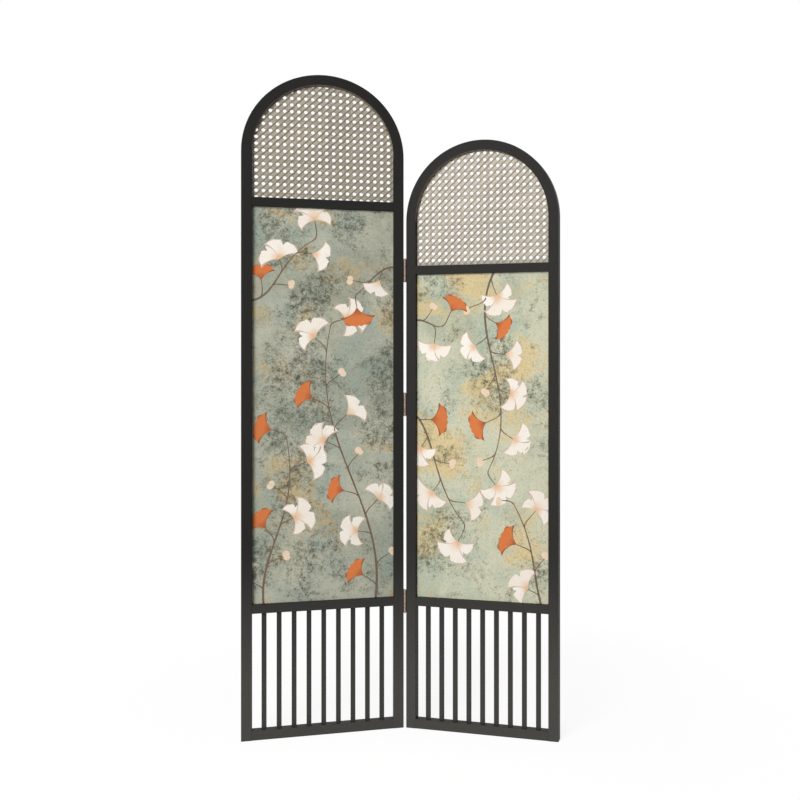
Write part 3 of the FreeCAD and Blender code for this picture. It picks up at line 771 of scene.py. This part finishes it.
# A twig's reach, its lean off the stem and its curl, each drawn between two limits
TWIG_REACH = (0.035, 0.06)
TWIG_LEAN = (0.55, 0.85)
TWIG_CURL = (0.1, 0.5)
TWIG_POINTS = 9
TWIG_BEND, TWIG_MIDDLE, TWIG_END = 0.3, 0.6, 0.5
TWIG_FOOT, TWIG_TIP = 0.55, 0.3
MOTIF_SHARE = (0.88, 1.1)

# Triangles inside the outlines only, and how close points are taken as one
INSIDE_ONLY = 1
SAME_PLACE = 1e-6


def fan_outline(cleft_depth):
    """A fan leaf of unit length: concave sides from the stalk, a wavy rim and a cleft in its middle."""
    side, rim = [], []
    for step in range(SIDE_STEPS + 1):
        share = FAN_FOOT + (1 - FAN_FOOT) * step / SIDE_STEPS
        side.append((SIDE_START + SIDE_REACH * step / SIDE_STEPS, FAN_SPREAD * share))
    for step in range(1, RIM_STEPS):
        angle = FAN_SPREAD * (1 - 2 * step / RIM_STEPS)
        cleft = cleft_depth * math.exp(-(angle / CLEFT_WIDTH) ** 2)
        rim.append((RIM_REACH + RIM_WAVE * math.cos(RIM_WAVES * angle) - cleft, angle))
    polar = side + rim + [(reach, -angle) for reach, angle in reversed(side)]
    return [towards(angle) * reach for reach, angle in polar]


def seed_outline():
    """A round seed of unit length."""
    turns = [math.tau * step / SEED_SIDES for step in range(SEED_SIDES)]
    return [Vector((SEED_HALF_WIDTH * math.sin(turn), 0.5 - 0.5 * math.cos(turn))) for turn in turns]


def towards(heading):
    """The direction of a heading, measured from straight up."""
    return Vector((math.sin(heading), math.cos(heading)))


OUTLINES = {FAN: fan_outline(PALE_CLEFT), RUST_FAN: fan_outline(RUST_CLEFT), SEED: seed_outline()}


class Design:
    """A print's motifs on one board, each laid over those before it."""

    def __init__(self, seed):
        self.draw = random.Random(seed)
        self.motifs = []

    def add_stem(self, points, foot_width, tip_width):
        """A tapering line along points."""
        sides = ([], [])
        for number, point in enumerate(points):
            ahead = points[min(number + 1, len(points) - 1)] - points[max(number - 1, 0)]
            normal = Vector((-ahead.y, ahead.x)).normalized()
            share = number / (len(points) - 1)
            half = (foot_width * (1 - share) + tip_width * share) * self.draw.uniform(*STEM_WOBBLE)
            sides[0].append(point + normal * half)
            sides[1].append(point - normal * half)
        self.motifs.append((STEM, sides[0] + sides[1][::-1], Matrix.Identity(3), self.draw.random()))

    def add_motif(self, kind, foot, heading, size, mirrored=False):
        """A leaf or seed that grows from a foot in a heading, measured from straight up."""
        flip = -1.0 if mirrored else 1.0
        turn = Matrix(((math.cos(heading), math.sin(heading)), (-math.sin(heading), math.cos(heading))))
        foot = foot - turn @ Vector((0, MOTIF_OVERLAP)) * size
        outline = [foot + turn @ Vector((point.x * flip, point.y)) * size for point in OUTLINES[kind]]
        place = Matrix(((turn[0][0] * size * flip, turn[0][1] * size, foot.x),
                        (turn[1][0] * size * flip, turn[1][1] * size, foot.y), (0, 0, 1)))
        self.motifs.append((kind, outline, place.inverted(), self.draw.random()))


# What each letter ends a twig with: motifs, their lean off the twig and their share of the usual size
GROWTH = {
    "f": ((FAN, 0.1, 1.0),),
    "g": ((FAN, -1.05, 0.86), (FAN, 1.0, 0.90), (FAN, 0.0, 1.08)),
    "p": ((FAN, -0.65, 0.95), (FAN, 0.6, 1.02)),
    "r": ((RUST_FAN, 0.0, 1.0),),
    "s": ((SEED, -0.7, 1.0), (SEED, 0.5, 0.85)),
}


def grow_twig(design, settings, foot, heading, letter, side):
    """A short curved twig that ends in leaves or seeds."""
    sizes = {FAN: settings.fan_size, RUST_FAN: settings.rust_size, SEED: settings.seed_size}
    reach = design.draw.uniform(*TWIG_REACH)
    lean = heading + side * design.draw.uniform(*TWIG_LEAN)
    middle = foot + towards(lean) * reach * TWIG_MIDDLE
    end_lean = lean + side * design.draw.uniform(*TWIG_CURL)
    end = middle + towards(end_lean) * reach * TWIG_END
    bend = foot + towards(heading) * reach * TWIG_BEND
    points = interpolate_bezier(foot, bend, middle, end, TWIG_POINTS)
    design.add_stem(points, settings.stem_width * TWIG_FOOT, settings.stem_width * TWIG_TIP)
    for kind, off_twig, share in GROWTH[letter]:
        size = sizes[kind] * share * design.draw.uniform(*MOTIF_SHARE)
        design.add_motif(kind, end, end_lean + off_twig, size, mirrored=side < 0)


# Stems of each board: foot, two bends and tip in the panel's own frame, then what grows along it
STEMS = {
    "tall": (
        (((0.150, 0.360), (0.215, 0.700), (-0.060, 0.860), (0.020, 1.240)), "rsgprsgfrspg"),
        (((-0.170, 0.360), (-0.215, 0.560), (-0.060, 0.640), (-0.110, 0.900)), "psrgspr"),
        (((-0.240, 1.310), (-0.130, 1.310), (-0.150, 1.430), (-0.030, 1.500)), "rspfg"),
        (((0.240, 1.420), (0.170, 1.440), (0.150, 1.380), (0.100, 1.340)), "fsr"),
    ),
    "short": (
        (((0.060, 1.440), (-0.090, 1.230), (0.150, 1.050), (0.020, 0.800)), "gsrpfsgrpsg"),
        (((-0.240, 0.980), (-0.150, 0.950), (-0.170, 0.760), (-0.060, 0.640)), "rgspfg"),
        (((0.200, 0.360), (0.150, 0.480), (0.180, 0.560), (0.100, 0.700)), "psrgs"),
        (((-0.240, 1.250), (-0.190, 1.280), (-0.160, 1.230), (-0.130, 1.240)), "spr"),
    ),
}


def lay_out_design(panel):
    """The motifs of one panel's print."""
    settings = bpy.context.scene.screen_print
    design = Design(settings.draw_seed + len(panel.name))
    for knots, growth in STEMS[panel.name]:
        points = interpolate_bezier(*(Vector(knot) for knot in knots), STEM_POINTS)
        design.add_stem(points, settings.stem_width, settings.stem_width * STEM_TIP)
        for number, letter in enumerate(growth):
            at = round((number + 1) / len(growth) * (STEM_POINTS - 1))
            ahead = points[at] - points[at - 1]
            heading = math.atan2(ahead.x, ahead.y)
            side = 1 if number % 2 else -1
            grow_twig(design, settings, points[at], heading, letter, side)
    return design


def counter_clockwise(outline):
    """An outline in the turning sense that the triangulation wants."""
    area = sum(a.x * b.y - b.x * a.y for a, b in zip(outline, outline[1:] + outline[:1]))
    return outline if area > 0 else outline[::-1]


def triangulate(outlines):
    """Points and triangles inside outlines, each triangle with the numbers of the outlines that cover it."""
    points, rings = [], []
    for outline in outlines:
        rings.append(list(range(len(points), len(points) + len(outline))))
        points.extend(outline)
    places, _, triangles, _, _, owners = delaunay_2d_cdt(points, [], rings, INSIDE_ONLY, SAME_PLACE)
    return places, zip(triangles, owners)


def printed_board_mesh(panel, design):
    """A board whose front is divided along the outlines of its print; outline 0 is the board's own."""
    low, high = panel.box("art_board")
    own = [Vector(corner) for corner in ((low.x, low.z), (high.x, low.z), (high.x, high.z), (low.x, high.z))]
    places, triangles = triangulate([own] + [counter_clockwise(motif[1]) for motif in design.motifs])
    board = bmesh.new()
    uv = board.loops.layers.uv.new("motif")
    tone = board.faces.layers.float.new("motif_tone")
    corners = [board.verts.new((place.x, low.y, place.y)) for place in places]
    for triangle, covering in triangles:
        if 0 not in covering:
            continue
        face = board.faces.new([corners[index] for index in triangle])
        top = max(covering)
        if top == 0:
            continue
        face.material_index, _, to_motif, face[tone] = design.motifs[top - 1]
        for loop in face.loops:
            loop[uv].uv = (to_motif @ Vector((loop.vert.co.x, loop.vert.co.z, 1.0))).xy
    bmesh.ops.delete(board, geom=[vert for vert in board.verts if not vert.link_faces], context="VERTS")
    add_board_back(board, high.y - low.y)
    mesh = bpy.data.meshes.new(panel.node("printed_board"))
    board.to_mesh(mesh)
    board.free()
    return mesh


def add_board_back(board, thickness):
    """Give a printed face its edges and its back."""
    rim = [edge for edge in board.edges if edge.is_boundary]
    made = bmesh.ops.extrude_edge_only(board, edges=rim)["geom"]
    moved = [item for item in made if isinstance(item, bmesh.types.BMVert)]
    bmesh.ops.translate(board, verts=moved, vec=(0, thickness, 0))
    back_rim = [item for item in made if isinstance(item, bmesh.types.BMEdge) and item.is_boundary]
    sides = [item for item in made if isinstance(item, bmesh.types.BMFace)]
    back = bmesh.ops.holes_fill(board, edges=back_rim, sides=0)["faces"]
    for face in sides + back:
        face.material_index = BACKING
    bmesh.ops.recalc_face_normals(board, faces=board.faces)


class SCREEN_OT_print_boards(bpy.types.Operator):
    """Make both boards with their printed canvas"""

    bl_idname = "screen.print_boards"
    bl_label = "Print boards"

    def execute(self, context):
        settings = context.scene.screen_print
        inks = {
            STEM: plain_ink("print_stem", settings.stem, STEM_LIGHT),
            FAN: painted_fan("print_ivory", IVORY_FOOT, settings.ivory, IVORY_RIB, IVORY_OUTLINE),
            RUST_FAN: painted_fan("print_rust", RUST_FOOT, settings.rust, RUST_RIB, RUST_OUTLINE),
            SEED: plain_ink("print_seed", SEED_LIGHT, SEED_DEEP),
            BACKING: board_backing(),
        }
        for panel in PANELS:
            mesh = printed_board_mesh(panel, lay_out_design(panel))
            inks[GROUND] = print_ground(panel)
            for number in sorted(inks):
                mesh.materials.append(inks[number])
            place_piece(panel, "printed_board", mesh, panel.node("art_board"))
        return {"FINISHED"}


# Hinges

BRONZE_METALLIC = 0.7
SCREW_GAP = 0.005
SCREW_SIDES = 24
SCREW_TIP = 0.0002
SLOT_DEPTH = 0.0009
SLOT_REACH = 3.0
TURN_SEED = 3


def aged_bronze():
    """Antique bronze: dark patina, rubbed to a coppery sheen in places."""
    settings = bpy.context.scene.screen_finish
    metal = Surface("hinge_bronze")
    clouds = metal.place.noise(160, 5, 0.6)
    scratches = metal.place.mapped((1, 1, 0.08)).noise(1500, 3)
    rubbed = (clouds + scratches * 0.25).ramp(0.38, 0.74)
    colour = rubbed.mix(settings.patina, settings.bronze)
    return metal.finish(colour, clouds.spread(0.45, 0.3), scratches, strength=0.15, distance=0.0002,
                        others={"Metallic": BRONZE_METALLIC})


def screw_cone(tree, top, bottom, depth, sunk):
    """A round stretch of a screw, with its lower end sunk below the head's face."""
    sizes = {"Vertices": SCREW_SIDES, "Radius Top": top, "Radius Bottom": bottom, "Depth": depth}
    down = tree.combine(0, 0, -sunk)
    return tree.shape("Transform", {"Geometry": tree.shape("MeshCone", sizes), "Translation": down})


def screw_tree():
    """Slotted countersunk screws, one on each point of a mesh, turned to any angle."""
    names = ("Head Radius", "Shank Radius", "Length", "Slot Width", "Slot Depth", "Side")
    tree = Shapes("slotted screws", {"Geometry": "Geometry", "Material": "Material"}, names)
    given = tree.given
    head_radius, shank_radius, whole_length = given["Head Radius"], given["Shank Radius"], given["Length"]
    head_height = head_radius - shank_radius
    head = screw_cone(tree, head_radius, shank_radius, head_height, head_height)
    slot_size = tree.combine(head_radius * SLOT_REACH, given["Slot Width"], given["Slot Depth"] * 2)
    slot = tree.shape("MeshCube", {"Size": slot_size})
    slotted = tree.shape("MeshBoolean", {0: head, 1: slot}, {"operation": "DIFFERENCE"})
    shank = screw_cone(tree, shank_radius, SCREW_TIP, whole_length - head_height, whole_length)
    copies = tree.shape("InstanceOnPoints", {
        "Points": given["Geometry"], "Instance": tree.join((slotted, shank)),
        "Rotation": tree.combine(0, given["Side"] * (math.pi / 2))})
    turn = tree.combine(0, 0, tree.random({3: math.pi, "Seed": TURN_SEED}))
    turned = tree.shape("RotateInstances", {"Instances": copies, "Rotation": turn})
    whole = tree.shape("RealizeInstances", {"Geometry": turned})
    return tree.end(tree.shape("SetMaterial", {"Geometry": whole, "Material": given["Material"]}))


def screw_groups(points):
    """The points of each screw, told apart by the gaps in height between screws."""
    groups = [[]]
    for point in sorted(points, key=lambda item: item.z):
        if groups[-1] and point.z - groups[-1][-1].z > SCREW_GAP:
            groups.append([])
        groups[-1].append(point)
    return groups


def screw_heads(panel):
    """The middle of each screw's head, the head's radius and the screw's length."""
    heads = []
    for group in screw_groups(panel.points("hinge_screws")):
        low, high = box_of(group)
        outer = high if panel.hinge_side > 0 else low
        heads.append(Vector((outer.x, (low.y + high.y) / 2, (low.z + high.z) / 2)))
    return heads, (high.z - low.z) / 2, high.x - low.x


class SCREEN_OT_finish_hinges(bpy.types.Operator):
    """Give the hinges their bronze and their slotted screws"""

    bl_idname = "screen.finish_hinges"
    bl_label = "Finish hinges"

    def execute(self, context):
        settings = context.scene.screen_finish
        bronze = aged_bronze()
        for node in frame["nodes"]:
            if node.startswith("hinge_") or node.endswith("_hinge_screws"):
                dress(node, bronze)
        tree = screw_tree()
        for panel in PANELS:
            heads, radius, screw_length = screw_heads(panel)
            points = bpy.data.meshes.new("screw_points")
            points.from_pydata(heads, [], [])
            mesh = run_tree(tree, {
                "Head Radius": radius, "Shank Radius": radius / 2, "Length": screw_length,
                "Slot Width": settings.slot_width, "Slot Depth": SLOT_DEPTH, "Side": float(panel.hinge_side),
                "Material": bronze}, points)
            place_piece(panel, "slotted_screws", mesh, panel.node("hinge_screws"))
        return {"FINISHED"}


# Stage

WHITE = (1.0, 1.0, 1.0, 1.0)
FLOOR_REACH = 30.0
FLOOR_DARK, FLOOR_LIGHT = (0.23, 0.23, 0.23), (0.25, 0.25, 0.25)
FLOOR_BOUNCE = (0.60, 0.60, 0.59, 1.0)

# Distances from the screen between which the floor fades to white
FLOOR_CLEAR = (0.25, 1.6)

# The sky's strength overhead as a share of that at the horizon, and how far up it changes
CEILING_SHARE = 0.35
SKY_SPAN = 0.8

KEY_SIZE = (3.4, 3.0)
KEY_PLACE = Vector((-2.2, -5.8, 2.7))
KEY_TARGET = Vector((0, 0, 1.2))


def seen_plainly(nodes):
    """Whether a ray shows the background: straight, in a reflection or through something clear."""
    kinds = ("Is Camera Ray", "Is Transmission Ray", "Is Glossy Ray")
    direct, clear, mirrored = (nodes.make("ShaderNodeLightPath", output=kind) for kind in kinds)
    return direct.math("MAXIMUM", clear).math("MAXIMUM", mirrored)


def pale_floor_material():
    """A pale matt floor that keeps soft shadows near the screen and fades to white away from it."""
    settings = bpy.context.scene.screen_stage
    nodes = Surface("pale_floor")
    nodes.tree.nodes.remove(nodes.shader)
    distance = nodes.make("ShaderNodeVectorMath", {0: nodes.place}, {"operation": "LENGTH"}, "Value")
    tone = nodes.place.noise(40, 4).mix(FLOOR_DARK, FLOOR_LIGHT)
    lit = nodes.make("ShaderNodeBsdfDiffuse", {"Color": tone})
    bounce = nodes.make("ShaderNodeBsdfDiffuse", {"Color": FLOOR_BOUNCE})
    pale = nodes.make("ShaderNodeEmission", {"Color": WHITE, "Strength": settings.floor_white})
    near = nodes.make("ShaderNodeAddShader", {0: lit, 1: pale})
    white = nodes.make("ShaderNodeEmission", {"Color": WHITE, "Strength": 1})
    shown = nodes.make("ShaderNodeMixShader", {0: distance.ramp(*FLOOR_CLEAR), 1: near, 2: white})
    whole = nodes.make("ShaderNodeMixShader", {0: seen_plainly(nodes), 1: bounce, 2: shown})
    nodes.feed(nodes.tree.nodes["Material Output"].inputs[0], whole)
    return nodes.material


def lay_floor():
    """The floor that the screen stands on."""
    mesh = bpy.data.meshes.new("floor")
    sides = ((-1, -1), (1, -1), (1, 1), (-1, 1))
    corners = [(x * FLOOR_REACH, y * FLOOR_REACH, 0) for x, y in sides]
    mesh.from_pydata(corners, [], [(0, 1, 2, 3)])
    mesh.materials.append(pale_floor_material())
    floor = add_object("floor", mesh)
    floor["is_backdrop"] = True


def light_sky():
    """Soft light from all round, dimmer from above, and white where the background is seen."""
    settings = bpy.context.scene.screen_stage
    world = bpy.data.worlds.new("studio")
    bpy.context.scene.world = world
    world.use_nodes = True
    nodes = Nodes(world.node_tree)
    world.node_tree.nodes.clear()
    height = nodes.coordinates("Generated").split()[2]
    strength = height.ramp(0, SKY_SPAN).spread(settings.sky, settings.sky * CEILING_SHARE)
    soft = nodes.make("ShaderNodeBackground", {"Color": WHITE, "Strength": strength})
    white = nodes.make("ShaderNodeBackground", {"Color": WHITE, "Strength": 1})
    mixed = nodes.make("ShaderNodeMixShader", {0: seen_plainly(nodes), 1: soft, 2: white})
    nodes.add("ShaderNodeOutputWorld", {0: mixed})


def hang_key_light(power):
    """A large soft lamp in front that faces the screen."""
    lamp = bpy.data.lights.new("key", "AREA")
    lamp.shape = "RECTANGLE"
    lamp.size, lamp.size_y = KEY_SIZE
    lamp.energy = power
    holder = add_object("key", lamp)
    holder.visible_camera = False
    holder.visible_glossy = False
    holder.location = KEY_PLACE
    holder.rotation_euler = (KEY_TARGET - KEY_PLACE).to_track_quat("-Z", "Y").to_euler()


def set_camera():
    """A level camera at the photograph's place, with its frame shifted as the photograph's is."""
    hinge = Vector(frame["joints"][0]["pos_m"])
    camera = bpy.data.cameras.new("camera")
    camera.sensor_width = SENSOR_WIDTH
    camera.lens = SENSOR_WIDTH * FOCAL_PIXELS / PHOTO_SIDE
    camera.shift_x = 0.5 - AXIS_PIXEL[0] / PHOTO_SIDE
    camera.shift_y = AXIS_PIXEL[1] / PHOTO_SIDE - 0.5
    holder = add_object("camera", camera)
    holder.location = Vector((hinge.x, hinge.y, 0)) + CAMERA_FROM_HINGE
    holder.rotation_euler = (math.pi / 2, 0, 0)
    bpy.context.scene.camera = holder


class SCREEN_OT_set_stage(bpy.types.Operator):
    """Set up the floor, the light and the camera"""

    bl_idname = "screen.set_stage"
    bl_label = "Set stage"

    def execute(self, context):
        context.scene.view_settings.view_transform = "Standard"
        lay_floor()
        light_sky()
        hang_key_light(context.scene.screen_stage.key_power)
        set_camera()
        return {"FINISHED"}


class SCREEN_PT_dresser(bpy.types.Panel):
    """Lists the steps that dress the screen, and the settings"""

    bl_idname = "SCREEN_PT_dresser"
    bl_label = "Folding screen"
    bl_space_type = "VIEW_3D"
    bl_region_type = "UI"
    bl_category = "Screen"

    def draw(self, context):
        for step in STEPS:
            self.layout.operator(step.bl_idname)
        for group in SETTINGS:
            settings = getattr(context.scene, group)
            box = self.layout.box()
            for name in settings.__annotations__:
                box.prop(settings, name)


SETTINGS = {"screen_cane": CaneSettings, "screen_print": PrintSettings, "screen_finish": FinishSettings,
            "screen_stage": StageSettings}
STEPS = (SCREEN_OT_paint_frames, SCREEN_OT_weave_cane, SCREEN_OT_print_boards, SCREEN_OT_finish_hinges,
         SCREEN_OT_set_stage)
CLASSES = (*SETTINGS.values(), *STEPS, SCREEN_PT_dresser)


def register():
    """Add the settings, the steps and the sidebar to Blender."""
    for item in CLASSES:
        bpy.utils.register_class(item)
    for name, group in SETTINGS.items():
        setattr(bpy.types.Scene, name, PointerProperty(type=group))


def unregister():
    """Take them away again."""
    for name in SETTINGS:
        delattr(bpy.types.Scene, name)
    for item in reversed(CLASSES):
        bpy.utils.unregister_class(item)


def main():
    """Dress the screen step by step."""
    register()
    bpy.ops.screen.paint_frames()
    bpy.ops.screen.weave_cane()
    bpy.ops.screen.print_boards()
    bpy.ops.screen.finish_hinges()
    bpy.ops.screen.set_stage()
    boxes = {"cad": CAD_BOX, "visual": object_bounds()}
    {name: [list(corner) for corner in box] for name, box in boxes.items()}


if __name__ == "__main__":
    main()
